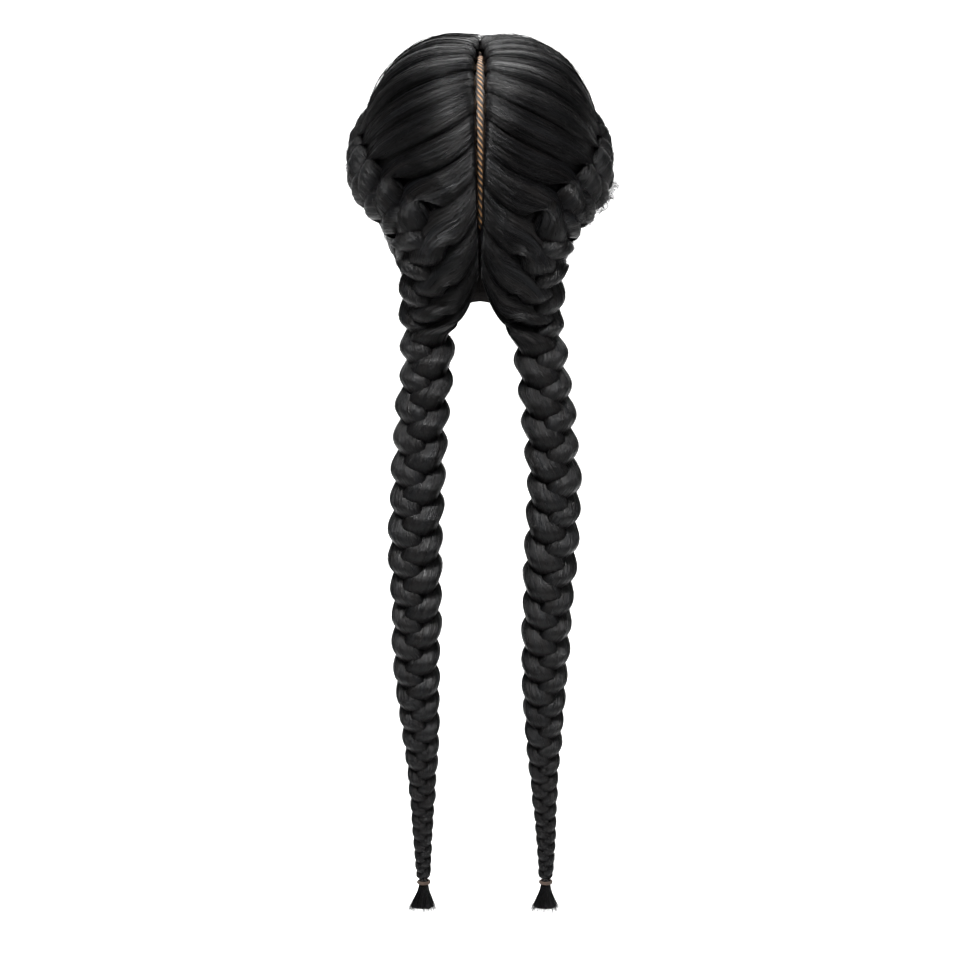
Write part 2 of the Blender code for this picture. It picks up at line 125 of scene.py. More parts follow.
# Hanging braid: drop, out on the left and on the right, back, facing, share of the width
HANG_ROUTE = np.array([
    (0.315, 0.75, 0.81, 0.83, 30, 0.97), (0.365, 0.76, 0.90, 0.88, 26, 0.98),
    (0.430, 0.84, 0.99, 0.94, 24, 0.99), (0.500, 0.89, 1.06, 0.98, 22, 1.00),
    (0.570, 0.93, 1.03, 1.00, 18, 0.98), (0.650, 0.92, 0.98, 1.00, 13, 0.93),
    (0.730, 0.93, 0.95, 1.00, 8, 0.85), (0.810, 0.87, 0.94, 1.00, 5, 0.68),
    (0.880, 0.85, 0.95, 1.00, 3, 0.50), (0.950, 0.85, 0.98, 1.00, 2, 0.35),
    (1.000, 0.84, 0.98, 1.00, 0, 0.27),
])

# Where a swept lock's hair leaves the parting, in degrees back from the crown; where it
# meets the braid, as a share of the crown route; how far from its centre; and its bow
LOCK_EDGES = np.array([
    (-62, 0.05, 0.54, 0.00), (-40, 0.09, 0.54, 0.00), (-20, 0.13, 0.54, 0.00),
    (0, 0.175, 0.54, 0.00), (17, 0.235, 0.55, 0.02), (29, 0.32, 0.56, 0.04),
    (39, 0.43, 0.56, 0.06), (49, 0.53, 0.55, 0.07), (60, 0.62, 0.55, 0.07),
    (71, 0.70, 0.54, 0.08), (82, 0.765, 0.53, 0.06), (94, 0.83, 0.51, 0.05),
    (106, 0.90, 0.50, 0.06), (119, 1.05, 0.48, 0.16),
])

# Where a side lock's hair leaves the hairline, and where it meets the braid
SIDE_LOCK_EDGES = np.array([
    (152, 0.06), (130, 0.20), (108, 0.35), (88, 0.50), (70, 0.64), (57, 0.78), (48, 0.91),
])

# Height of a swept lock's crest along its length
LOCK_PROFILE = np.array([
    (0.0, 0.34), (0.012, 0.56), (0.04, 0.68), (0.10, 0.78), (0.30, 0.90), (0.65, 0.98),
    (1.0, 0.88),
])

# The hair's roots lie this far out on the lace's half width, and a lock's tip dives under
# the next strand at this share of its length
ROOT_SHARE = 0.56
LOCK_END = 1.56

# Between these shares of its length a lock's form passes from the head's into the strand's.
# Past the third it follows the head no further
BLEND_START = 0.80
BLEND_END = 1.20
HEAD_REACH = 1.16

# How far neighbouring locks overlap, as a share of their breadth, and their gap to the cap
LOCK_LAP = 0.14
LOCK_FLOOR = 0.0004

# Metres of the fibres' own coordinates: round a lock for each radian, from one lock to the
# next, and along a whole lock
FIBRE_ROUND = 0.011
FIBRE_STEP = 0.07
FIBRE_LONG = 0.11

# The hair beneath the locks: its gap to the cap, the shares of the locks' height that it
# fills over the head and by the nape, and the painted light share that darkens it as shade
BED_FLOOR = 0.0006
BED_HEIGHT = 0.88
BED_HEIGHT_NAPE = 0.54
BED_PAINTED_LIGHT = 0.6

# Radii of the thinnest and the thickest single hairs. A real fibre is about 0.06 mm thick,
# so each of these stands for a few that cling together
LOCK_HAIR_RADII = (0.00010, 0.00026)
BRAID_HAIR_RADII = (0.00010, 0.00024)
LOOSE_HAIR_RADII = (0.00009, 0.00017)

# How far most single hairs lie off the skin at most, and how high the stray ones loop
HAIR_LIFT = 0.0005
STRAY_LIFT = 0.0035

# A wave texture of scale 1 has this many bands to a metre
BANDS_AT_ONE = 3.18

# Floor and wall: half their width, the floor's near and far ends, the radius of the bend
# between them, and the wall's height
FLOOR_HALF_WIDTH = 3.6
FLOOR_NEAR = 3.0
FLOOR_FAR = -3.2
BEND_RADIUS = 1.4
WALL_HEIGHT = 3.4

# Lights: place, what they point at, size, power and spread in degrees
LIGHTS = {
    "key": ((0.35, 1.6, 2.0), (0, 0.05, -0.3), 0.65, 14, 50),
    "fill": ((-1.7, 1.6, 0.4), (0, 0.05, -0.4), 0.7, 9, 180),
    "backdrop": ((0.0, -1.6, 2.6), (0, -4.2, -0.4), 2.4, 260, 180),
    "floor_wash": ((0.0, -1.4, 1.6), (0, -2.6, -1.0), 2.0, 60, 180),
}
SKY_STRENGTH = 0.17

# Camera: distance behind the head, height over the crown, how far it looks down, and lens
CAMERA_BACK = 1.90
CAMERA_HEIGHT = 0.026
CAMERA_TILT = 12
CAMERA_LENS = 80.25

SIDES = {"left": 1, "right": -1}


def look():
    """The settings in the sidebar."""
    return bpy.context.scene.braid_wig


def unit(vectors):
    return vectors / np.maximum(np.linalg.norm(vectors, axis=-1, keepdims=True), 1e-12)


def dot(a, b):
    return (a * b).sum(-1, keepdims=True)


def smooth_step(low, high, at):
    share = np.clip((at - low) / (high - low), 0.0, 1.0)
    return share * share * (3 - 2 * share)


def smooth_through(keys, values, at):
    """Values read between keys, on the smooth curve through them."""
    at = np.clip(at, keys[0], keys[-1])
    i = np.clip(np.searchsorted(keys, at, side="right") - 1, 0, len(keys) - 2)
    before, after, last = np.maximum(i - 1, 0), i + 1, np.minimum(i + 2, len(keys) - 1)
    wide = (lambda a: a[..., None]) if values.ndim > 1 else (lambda a: a)
    span = keys[after] - keys[i]
    share = wide((at - keys[i]) / span)
    slope_in = (values[after] - values[before]) / wide(keys[after] - keys[before])
    slope_out = (values[last] - values[i]) / wide(keys[last] - keys[i])
    s2, s3 = share**2, share**3
    ends = values[i] * (2 * s3 - 3 * s2 + 1) + values[after] * (3 * s2 - 2 * s3)
    return ends + wide(span) * ((s3 - 2 * s2 + share) * slope_in + (s3 - s2) * slope_out)


def skull(ray, lift=0.0):
    """Points this far outside the head form along rays, and the form's normals there."""
    axes = np.where(ray[..., 2:] >= 0, UPPER_AXES, LOWER_AXES)
    reach = (np.abs(ray) ** HEAD_FULLNESS).sum(-1, keepdims=True) ** (-1 / HEAD_FULLNESS)
    normal = unit(np.sign(ray) * np.abs(ray) ** (HEAD_FULLNESS - 1) / axes)
    return SKULL_CENTRE + ray * reach * axes + normal * np.asarray(lift)[..., None], normal


def ray_to(points):
    offset = points - SKULL_CENTRE
    return unit(offset / np.where(offset[..., 2:] >= 0, UPPER_AXES, LOWER_AXES))


def ray_at(azimuth, polar, side=1):
    around, down = np.radians(azimuth), np.radians(polar)
    flat = np.sin(down)
    parts = (side * flat * np.sin(around), flat * np.cos(around), np.cos(down))
    return np.stack(np.broadcast_arrays(*parts), -1)


def across_share(around):
    """How far a point round a lock's section is from the forehead edge to the nape edge."""
    return (1 - np.cos(around)) / 2


def root_half_width(angle):
    """Where the hair's roots stand: close together over the crown, apart further down."""
    return part_half_width(angle) * ROOT_SHARE * (smooth_step(12, 38, angle) * 1.7 - 0.7)


def part_half_width(angle):
    along = np.clip((angle - TAPER_START) / (LACE_END - TAPER_START), 0.0, 1.0)
    return np.where(angle > LACE_END, 0.0, PART_WIDTH / 2 * (1 - PART_TAPER * along))


class Braid:
    """One side's braid: its centreline, the way it faces, its width and its turns."""

    def __init__(self, side):
        self.sign = SIDES[side]
        column = 0 if side == "left" else 1
        widths = BRAID_WIDTH * CROWN_ROUTE[:, 3]
        lift = CAP_WALL + BRAID_REST + (STRAND_RADIUS_SHARE + STRAND_DEPTH_SHARE) * widths
        rays = ray_at(CROWN_ROUTE[:, column], CROWN_ROUTE[:, 2], self.sign)
        places, facings = skull(rays, lift)
        drop, back = -BRAID_DROP * HANG_ROUTE[:, 0], BRAID_BACK * HANG_ROUTE[:, 3]
        out = self.sign * BRAID_SPACING * HANG_ROUTE[:, 1 + column]
        places = np.vstack([places, np.stack([out, back, drop], -1)])
        facings = np.vstack([facings, ray_at(HANG_ROUTE[:, 4], 90, self.sign)])
        widths = np.concatenate([widths, BRAID_WIDTH * HANG_ROUTE[:, 5]])
        keys = np.arange(len(places), dtype=float)
        steps = np.arange((len(places) - 1) * ROUTE_STEPS + 1) / ROUTE_STEPS
        self.places = smooth_through(keys, places, steps)
        self.facings = smooth_through(keys, facings, steps)
        self.widths = smooth_through(keys, widths, steps)
        ends = np.vstack([self.places[:1], self.places, self.places[-1:]])
        self.runs = unit(ends[2:] - ends[:-2])
        run = np.linalg.norm(np.diff(self.places, axis=0), axis=1)
        pitch = LOBE_PITCH_SHARE * (self.widths[1:] + self.widths[:-1]) / 2 + LOBE_PITCH_BASE
        self.lengths = np.concatenate([[0.0], np.cumsum(run)])
        self.turns = np.concatenate([[0.0], np.cumsum(run / (3 * pitch))])
        self.crown_length = self.lengths[(len(CROWN_ROUTE) - 1) * ROUTE_STEPS]

    def frames(self, table, values):
        """Centre, normal, crosswise direction away from the parting, and width."""
        step = np.interp(values, table, np.arange(len(table)))
        low = np.clip(step.astype(int), 0, len(table) - 2)
        share = (step - low)[..., None]

        def mix(column):
            return column[low] * (1 - share) + column[low + 1] * share

        run, facing = unit(mix(self.runs)), mix(self.facings)
        normal = unit(facing - run * dot(facing, run))
        cross = np.cross(run, normal) * self.sign
        return mix(self.places), normal, cross, mix(self.widths[:, None])[..., 0]

    def outward(self, cross):
        """Which way along cross leads away from the parting."""
        return np.where(cross[..., :1] * self.sign < 0, -1.0, 1.0)

    def flank(self, share, flank):
        """Points on the braid's side that faces the parting, where locks run into it."""
        place, normal, cross, width = self.frames(self.lengths, self.crown_length * share)
        inward = -cross * self.outward(cross)
        return place + (inward * flank[..., None] - normal * FOOT_SHARE) * width[..., None]

    def strand(self, number, turn, around, lift=0.0, swell=1.0, mirrored=1.0):
        """Points on a strand's skin. around is 0 on the side that cross points to, and
        mirrored is -1 to count it from the other side."""
        place, normal, cross, width = self.frames(self.turns, turn)
        angle = 2 * np.pi * (turn + number / 3)
        uneven = 1 + 0.05 * np.sin(2.3 * turn + 2.1 * number) * np.sin(5.1 * turn + number)
        swing = (STRAND_SWING_SHARE * np.sin(angle) * width)[..., None]
        depth = (-STRAND_DEPTH_SHARE * np.sin(2 * angle) * width)[..., None]
        half = STRAND_BREADTH_SHARE * width * swell * uneven + lift
        high = STRAND_RADIUS_SHARE * width * swell * uneven + lift
        out = cross * (np.cos(around) * mirrored * half)[..., None]
        up = normal * (np.sin(around) * high)[..., None]
        return place + cross * swing + normal * depth + out + up

    def lobes(self, outer, first, last):
        """Turn, strand and share of the crown route of each swing to one side."""
        found = []
        for number in range(3):
            for turn in np.arange(0.25 - number / 3, self.turns[-1], 0.5):
                if turn <= 0:
                    continue
                cross = self.frames(self.turns, np.array([turn]))[2]
                swing = math.sin(2 * math.pi * (turn + number / 3))
                length = np.interp(turn, self.turns, self.lengths)
                share = length / self.crown_length
                if (swing * self.outward(cross)[0, 0] > 0) == outer and first < share < last:
                    found.append((share, turn, number))
        return sorted(found)


BRAIDS = {side: Braid(side) for side in SIDES}


def grooves(around_m, along_m, seed, finest=0.003):
    """Clumps that run with the hair, about -1 to 1, from coordinates in metres."""
    rng = np.random.default_rng(seed)
    total = np.zeros_like(around_m)
    weight = 0.0
    for wave in (0.019, 0.011, 0.0075, 0.0055, 0.0043, 0.0035, finest):
        phase, drift, wobble = rng.uniform(0, 2 * np.pi), rng.normal(0, 9), rng.uniform(0, 6.3)
        sway = 0.7 * np.sin(along_m * rng.uniform(25, 70) + wobble)
        part = (wave / 0.021) ** 0.25
        total += part * np.cos(2 * np.pi * around_m / wave + phase + drift * along_m + sway)
        weight += part
    return total / weight * 2.2


class Locks:
    """A row of locks on one side of the head, each ending as a lobe of the braid."""

    def __init__(self, side, swept):
        self.braid = BRAIDS[side]
        self.on_top = swept
        self.kind = "swept" if swept else "side"
        self.table = edges = LOCK_EDGES if swept else SIDE_LOCK_EDGES
        first, last = (0.03, 1.09) if swept else (0.05, 0.90)
        lobes = self.braid.lobes(not swept, first, last)
        shares, self.turns, self.strands = (np.array(column) for column in zip(*lobes))
        self.count = len(shares)
        middles = (shares[1:] + shares[:-1]) / 2
        middles = np.concatenate([[edges[0, 1]], middles, [edges[-1, 1]]])
        self.edges = np.interp(middles, edges[:, 1], np.arange(len(edges)))
        rng = np.random.default_rng(7 if side == "left" else 8)
        self.size = rng.uniform(0.90, 1.02, self.count)
        self.seed = rng.integers(1000)

    def ray(self, place, share):
        """The ray and the lift of the hair at a place across the row and a share along it."""
        rows = np.arange(len(self.table), dtype=float)
        row = smooth_through(rows, self.table, place)
        if self.on_top:
            part, along, flank, bow = (row[..., i] for i in range(4))
            floor = skull(ray_at(0.0, part))[0]
            out = np.zeros_like(floor)
            out[..., 0] = self.braid.sign * (root_half_width(part) + CLEARANCE / 2)
            end = self.braid.flank(along, flank)
            back = unit(skull(ray_at(0.0, part + 1.0))[0] - floor)
            length = np.linalg.norm(end - floor, axis=-1)
            bend = (floor + end) / 2 + back * (2 * bow * length)[..., None]
            start, bend, rest = ray_to(floor + out), ray_to(bend), LOCK_REST
        else:
            azimuth, along = row[..., 0], row[..., 1]
            end = self.braid.flank(along, np.full_like(along, -SIDE_FLANK_SHARE))
            polar = smooth_through(HAIRLINE[:, 0], HAIRLINE[:, 1], azimuth) - HAIRLINE_MARGIN
            start = ray_at(azimuth, polar, self.braid.sign)
            bend, rest = (start + ray_to(end)) / 2, SIDE_LOCK_REST
        under, normal = skull(ray_to(end))
        over = np.maximum(dot(end - under, normal)[..., 0] - CAP_WALL - rest, 0.0)
        s = share[..., None]
        ray = start * (1 - s) ** 2 + bend * 2 * s * (1 - s) + ray_to(end) * s**2
        return unit(ray), over * share**2

    def crest(self, share):
        """Height of a lock's crest over the head at a share of its length."""
        if self.on_top:
            return LOCK_THICKNESS * np.interp(share, LOCK_PROFILE[:, 0], LOCK_PROFILE[:, 1])
        swell = np.sin(np.pi / 2 * np.clip(share, 0, 1))
        return SIDE_LOCK_THICKNESS * (SIDE_LOCK_EDGE + (1 - SIDE_LOCK_EDGE) * swell)

    def skin(self, number, around, share, lift=0.0):
        """Points on the skin of locks. around runs from the edge by the forehead over the
        crest, at a quarter turn, to the edge by the nape, and back below. share runs from the
        root, 0, to the braid's flank, 1, and over the braid to where the lobe dives."""
        around_m, along_m = FIBRE_ROUND * around + FIBRE_STEP * number, FIBRE_LONG * share
        clump = look().clump_depth * grooves(around_m, along_m, self.seed)
        clump = clump * smooth_step(0.0, 0.12, share)
        points = self.swept(number, around, share, lift + clump)
        # the section turns a quarter as the lock swings into the braid, and keeps its width
        blend = smooth_step(BLEND_START, BLEND_END, share)
        spread = 1 / np.sqrt(blend**2 + (1 - blend) ** 2) - 1
        fore = np.zeros_like(around)
        edge, other = (self.swept(number, at, share, 0.0) for at in (fore, fore + np.pi))
        points = points + (edge - other) / 2 * (spread * np.cos(around))[..., None]
        return points, around_m, along_m

    def swept(self, number, around, share, lift):
        """Points on the skin before its clumps and its spread: on the head, then on the
        braid's strand that the lock becomes."""
        across = across_share(around)
        first, last = self.edges[number], self.edges[number + 1]
        place = first + (last - first) * (across * (1 + 2 * LOCK_LAP) - LOCK_LAP)
        on_top = np.sin(around) > 0
        fall = 0.24 + 0.26 * smooth_step(0.05, 0.9, share)
        arch = np.where(on_top, np.abs(np.sin(around)) ** fall, 0.0)
        tilt = 1 + 0.10 * (2 * across - 1) * smooth_step(0.0, 0.3, share)
        crest = self.crest(share)
        if self.on_top:
            part = np.interp(place, np.arange(len(self.table)), self.table[:, 0])
            crown = 1 - smooth_step(14, 34, part)
            crest = np.maximum(crest, 0.80 * LOCK_THICKNESS * crown)
        height = crest * self.size[number] * arch * tilt
        ray, over = self.ray(place, np.clip(share, 0.0, HEAD_REACH))
        raised = np.where(on_top, height + lift * arch, 0.0)
        on_head = skull(ray, CAP_WALL + LOCK_FLOOR + over + raised)[0]
        turn = self.turns[number] + np.where(share > 1, 0.62, 0.25) * (share - 1)
        cross = self.braid.frames(self.braid.turns, turn)[2]
        lean = self.braid.outward(cross)[..., 0] * (1 if self.on_top else -1)
        swell = 1.05 * (1 - 0.35 * smooth_step(1.35, LOCK_END, share))
        on_braid = self.braid.strand(self.strands[number], turn, around, lift, swell, lean)
        # the underside stays on the head for longer, so no hollow opens under the nape edge
        under = smooth_step(0.0, 0.4, -np.sin(around))
        begin, end = BLEND_START + 0.30 * under, BLEND_END + 0.24 * under
        blend = smooth_step(begin, end, share)[..., None]
        return on_head * (1 - blend) + on_braid * blend


LOCKS = {(side, swept): Locks(side, swept) for side in SIDES for swept in (True, False)}


def hair_material():
    """Modacrylic fibre, crimped and heat set: near black, with soft grey streaks where the
    light runs across the fibres, and a little warmer or cooler from clump to clump. A fibre is
    too fine to show, so the finer streaks are drawn 0.8 mm wide."""
    made = bpy.data.materials.get("modacrylic hair")
    if made:
        return made
    made, tree, shader = new_material("modacrylic hair")
    uv = add_node(tree, "UVMap", {}, uv_map="fibres")
    fine = streaks(tree, uv, 0.0008, 0.026, 5.0)
    broad = streaks(tree, uv, 0.0060, 0.080, 2.0)
    tone = add_node(tree, "ValToRGB", {"Fac": (fine, "Fac")})
    ramp(tone, [(0.42, look().hair_dark), (0.66, look().hair_light)])
    cast = add_node(tree, "ValToRGB", {"Fac": (broad, "Fac")})
    ramp(cast, [(0.35, look().hair_warm), (0.65, look().hair_cool)])
    colour = add_node(tree, "Mix", {
        "Factor": 0.4, "A": (tone, "Color"), "B": (cast, "Color")}, data_type="RGBA")
    # painted shade: the stored light share mixes the hair's colour towards black in the creases
    lit = add_node(tree, "Attribute", {}, attribute_name="painted_light_share")
    shaded = add_node(tree, "Mix", {
        "Factor": (lit, "Fac"), "A": (0.0, 0.0, 0.0, 1.0), "B": (colour, "Result")},
        data_type="RGBA")
    # the specular level follows the painted light share, so the painted shade in the creases
    # loses its sheen too
    sheen_in_painted_shade = add_node(tree, "MapRange", {
        "Value": (lit, "Fac"), "To Min": 0.0, "To Max": 0.30})
    rough = add_node(tree, "MapRange", {
        "Value": (fine, "Fac"), "From Min": 0.35, "From Max": 0.65,
        "To Min": 0.52, "To Max": 0.27})
    bump = add_node(tree, "Bump", {
        "Height": (fine, "Fac"), "Strength": 1.0, "Distance": 0.0009})
    feed(tree, shader, {
        "Base Color": (shaded, "Result"), "Specular IOR Level": (sheen_in_painted_shade, "Result"),
        "Roughness": (rough, "Result"), "Normal": (bump, "Normal"), "IOR": 1.40})
    return made


def lace_material():
    """Swiss lace over a skin-toned base, with the hair's black knots tied across it in slanted
    rows, 3.3 mm apart: tan threads show between the knots."""
    made, tree, shader = new_material("lace")
    uv = add_node(tree, "UVMap", {}, uv_map="fibres")
    slant = add_node(tree, "Mapping", {
        "Vector": (uv, "UV"), "Rotation": (0, 0, math.radians(50))})
    rows = add_node(tree, "TexWave", {
        "Vector": (slant, "Vector"), "Scale": 1 / 0.0033 / BANDS_AT_ONE, "Distortion": 1.2,
        "Detail": 2.0, "Detail Scale": 3.0}, bands_direction="Y")
    thread = add_node(tree, "TexNoise", {
        "Vector": (uv, "UV"), "Scale": 1500.0, "Detail": 2.0})
    tan = add_node(tree, "ValToRGB", {"Fac": (thread, "Fac")})
    ramp(tan, [(0.3, colour_of("5E3F27")), (0.7, colour_of("B48A5C"))])
    # over the crown the strip is paler
    place = add_node(tree, "SeparateXYZ", {"Vector": (uv, "UV")})
    crown = add_node(tree, "MapRange", {
        "Value": (place, "Y"), "From Min": 0.060, "From Max": 0.035,
        "To Min": 0.0, "To Max": 0.75})
    skin = add_node(tree, "Mix", {
        "Factor": (crown, "Result"), "A": (tan, "Color"), "B": (*colour_of("D8B9A4"), 1.0)},
        data_type="RGBA")
    knots = add_node(tree, "ValToRGB", {"Fac": (rows, "Fac")})
    ramp(knots, [(0.52, (0.0, 0.0, 0.0)), (0.86, (1.0, 1.0, 1.0))])
    # hair covers the strip's two edges unevenly
    off_middle = add_node(tree, "Math", {0: (place, "X")}, operation="ABSOLUTE")
    uneven = add_node(tree, "Math", {
        0: (thread, "Fac"), 1: 0.0022, 2: (off_middle, "Value")}, operation="MULTIPLY_ADD")
    shown = add_node(tree, "MapRange", {
        "Value": (uneven, "Value"), "From Min": 0.0040, "From Max": 0.0024})
    bare = add_node(tree, "Math", {
        0: (knots, "Color"), 1: (shown, "Result")}, operation="MULTIPLY")
    colour = add_node(tree, "Mix", {
        "Factor": (bare, "Value"), "A": (*colour_of("0E0907"), 1.0), "B": (skin, "Result")},
        data_type="RGBA")
    bump = add_node(tree, "Bump", {
        "Height": (rows, "Fac"), "Strength": 0.6, "Distance": 0.0006})
    feed(tree, shader, {
        "Base Color": (colour, "Result"), "Normal": (bump, "Normal"), "Roughness": 0.6})
    return made


def net_material():
    """Knitted nylon net: a dark fabric whose meshes show as a fine grid. They are drawn
    2.2 mm wide, coarser than a real net's, so that they show."""
    made, tree, shader = new_material("nylon net")
    where = add_node(tree, "TexCoord", {})
    cells = add_node(tree, "TexVoronoi", {
        "Vector": (where, "Object"), "Scale": 1 / 0.0022, "Randomness": 0.35},
        feature="DISTANCE_TO_EDGE")
    tone = add_node(tree, "ValToRGB", {"Fac": (cells, "Distance")})
    ramp(tone, [(0.05, colour_of("161312")), (0.30, colour_of("060505"))])
    bump = add_node(tree, "Bump", {
        "Height": (cells, "Distance"), "Strength": 0.7, "Distance": 0.0005}, invert=True)
    feed(tree, shader, {
        "Base Color": (tone, "Color"), "Normal": (bump, "Normal"), "Roughness": 0.75,
        "Specular IOR Level": 0.05})
    return made


def elastic_material():
    """Covered elastic: dark brown yarn wound round rubber, with ribs 0.7 mm apart across it."""
    made = bpy.data.materials.get("covered elastic")
    if made:
        return made
    made, tree, shader = new_material("covered elastic")
    uv = add_node(tree, "UVMap", {}, uv_map="fibres")
    ribs = add_node(tree, "TexWave", {
        "Vector": (uv, "UV"), "Scale": 1 / 0.0007 / BANDS_AT_ONE, "Distortion": 1.0},
        bands_direction="Y")
    tone = add_node(tree, "ValToRGB", {"Fac": (ribs, "Fac")})
    ramp(tone, [(0.2, colour_of("1C1512")), (0.8, colour_of("5A4638"))])
    bump = add_node(tree, "Bump", {
        "Height": (ribs, "Fac"), "Strength": 0.6, "Distance": 0.0003})
    feed(tree, shader, {
        "Base Color": (tone, "Color"), "Normal": (bump, "Normal"), "Roughness": 0.6})
    return made


def new_material(name):
    made = bpy.data.materials.new(name)
    made.use_nodes = True
    return made, made.node_tree, made.node_tree.nodes["Principled BSDF"]


def feed(tree, node, inputs):
    """Sets a node's inputs, and links those that are given as (node, output) pairs."""
    for name, value in inputs.items():
        if isinstance(value, tuple) and isinstance(value[0], bpy.types.Node):
            tree.links.new(value[0].outputs[value[1]], node.inputs[name])
        else:
            node.inputs[name].default_value = value


def add_node(tree, kind, inputs, **settings):
    """A shader node with its settings and inputs."""
    node = tree.nodes.new("ShaderNode" + kind)
    for name, value in settings.items():
        setattr(node, name, value)
    feed(tree, node, inputs)
    return node


def streaks(tree, uv, width, length, detail):
    """Noise drawn out along the fibres, as wide and long as given in metres."""
    drawn = add_node(tree, "Mapping", {
        "Vector": (uv, "UV"), "Scale": (1 / width, 1 / length, 1.0)})
    return add_node(tree, "TexNoise", {
        "Vector": (drawn, "Vector"), "Scale": 1.0, "Detail": detail, "Roughness": 0.6},
        noise_dimensions="2D")


def ramp(node, stops):
    points = node.color_ramp.elements
    for point, (at, colour) in zip(points, stops):
        point.position = at
        point.color = (*tuple(colour)[:3], 1.0)


def colour_of(code):
    """Linear colour of an sRGB hex code."""
    parts = [int(code[i:i + 2], 16) / 255 for i in (0, 2, 4)]
    return tuple(p / 12.92 if p <= 0.04045 else ((p + 0.055) / 1.055) ** 2.4 for p in parts)


def wrapped(name, columns, rows, shape, material, slot, replaced=()):
    """A piece from a bmesh grid whose corners shape(across, along) puts in place. shape gives
    points, the fibres' coordinates in metres and, if it isn't 1 all over, the painted light
    share, which paints shade into the hair's colour. Edges that meet are welded."""
    made = bmesh.new()
    bmesh.ops.create_grid(made, x_segments=columns, y_segments=rows, size=0.5)
    mesh = bpy.data.meshes.new(name)
    made.to_mesh(mesh)
    made.free()
    flat = np.empty(len(mesh.vertices) * 3)
    mesh.vertices.foreach_get("co", flat)
    grid = flat.reshape(-1, 3) + 0.5
    points, around_m, along_m, *light = shape(grid[:, 0], grid[:, 1])
    mesh.vertices.foreach_set("co", points.ravel())
    corners = np.empty(len(mesh.loops), dtype=np.int32)
    mesh.loops.foreach_get("vertex_index", corners)
    layer = mesh.uv_layers.new(name="fibres")
    layer.data.foreach_set("uv", np.stack([around_m, along_m], -1)[corners].ravel())
    set_painted_light(mesh, light[0] if light else np.ones(len(points)))
    welded = bmesh.new()
    welded.from_mesh(mesh)
    bmesh.ops.remove_doubles(welded, verts=welded.verts, dist=1e-7)
    bmesh.ops.recalc_face_normals(welded, faces=welded.faces)
    welded.to_mesh(mesh)
    welded.free()
    return finished(name, mesh, material, slot, replaced)


def hair_form(name, columns, rows, shape):
    return wrapped(name, columns, rows, shape, hair_material(), "hair")


def new_object(name, data):
    made = bpy.data.objects.new(name, data)
    bpy.context.scene.collection.objects.link(made)
    return made


def finished(name, mesh, material, slot, replaced=()):
    """The mesh as a piece in its material, on the part's only body."""
    mesh.shade_smooth()
    mesh.materials.append(material)
    piece = new_object(name, mesh)
    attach(piece, "root")
    if replaced:
        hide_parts(*replaced)
    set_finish(piece, slot)
    return piece


def joined(name, pieces, replaced=()):
    """One piece from several, so that like parts are one object."""
    whole = bmesh.new()
    for piece in pieces:
        whole.from_mesh(piece.data)
    mesh = bpy.data.meshes.new(name)
    whole.to_mesh(mesh)
    whole.free()
    material, slot = pieces[0].data.materials[0], pieces[0]["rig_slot"]
    for piece in pieces:
        old = piece.data
        bpy.data.objects.remove(piece)
        bpy.data.meshes.remove(old)
    return finished(name, mesh, material, slot, replaced)


def set_painted_light(mesh, light):
    """Stores at each point the painted light share: how much light is painted in between the
    strands there.
    Where it is low, the hair's colour is painted towards black as shade.
    """
    layer = mesh.attributes.new("painted_light_share", "FLOAT", "POINT")
    layer.data.foreach_set("value", np.asarray(light, dtype=np.float32).ravel())


def painted_light_share(height):
    """Painted light share: fibres on top of a strand keep their colour, and those down by its
    sides are painted dark as shade.
    """
    return smooth_step(0.15, 0.97, height)


def painted_strand_light(number, turn, around):
    """Painted light share on a braid's strand: full on its front and back, and on its side where
    it swings out; elsewhere painted shade.
    """
    outward = np.cos(around) * np.sin(2 * np.pi * (turn + number / 3))
    return np.maximum(painted_light_share(np.abs(np.sin(around))), 0.7 * smooth_step(0.3, 1.0, outward))


